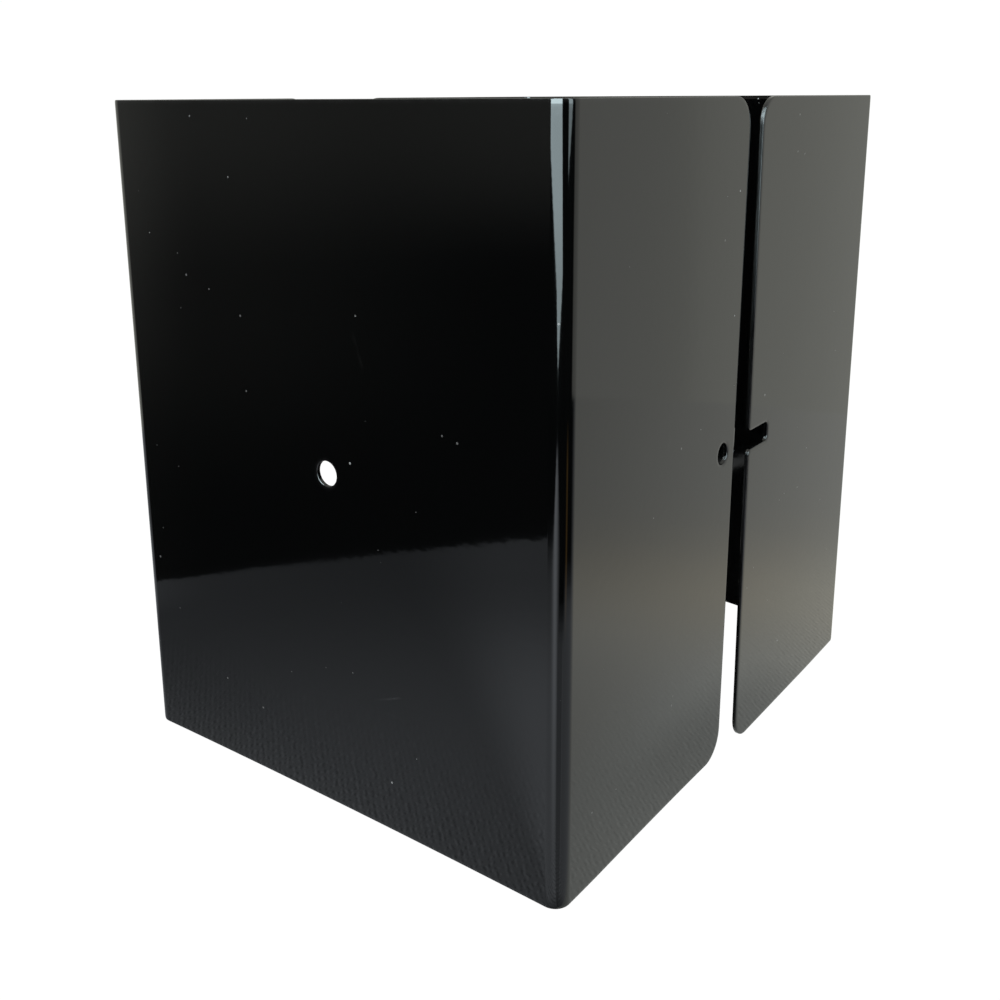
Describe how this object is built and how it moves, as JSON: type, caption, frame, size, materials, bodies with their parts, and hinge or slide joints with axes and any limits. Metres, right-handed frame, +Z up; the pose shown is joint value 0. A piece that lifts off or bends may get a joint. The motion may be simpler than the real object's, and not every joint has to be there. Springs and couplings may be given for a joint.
{
  "type": "fence post sleeve",
  "caption": "Wrap-around sheet-steel sleeve for a square fence post: identical folded halves with a screw-hole flange and a slotted flange that lap at each seam.",
  "frame": {"origin": "middle of the base, under the bounding box of both halves as they stand slightly apart", "axes": "+Z up the post; X along the near seam side, from half_a's panel at -X to half_b's panel at +X; the near seam faces -Y"},
  "size_m": [0.1708, 0.1418, 0.165],
  "materials": {
    "half_a_coat": "gloss black powder coat",
    "half_b_coat": "gloss black powder coat"
  },
  "bodies": {
    "half_a": {"half_a": "half_a_coat"},
    "half_b": {"half_b": "half_b_coat"}
  },
  "joints": [
    {"name": "half_b_slide", "type": "slide", "parent": "half_a", "child": "half_b", "axis": [1, 0, 0], "range_m": [-0.02, 0.06]}
  ]
}
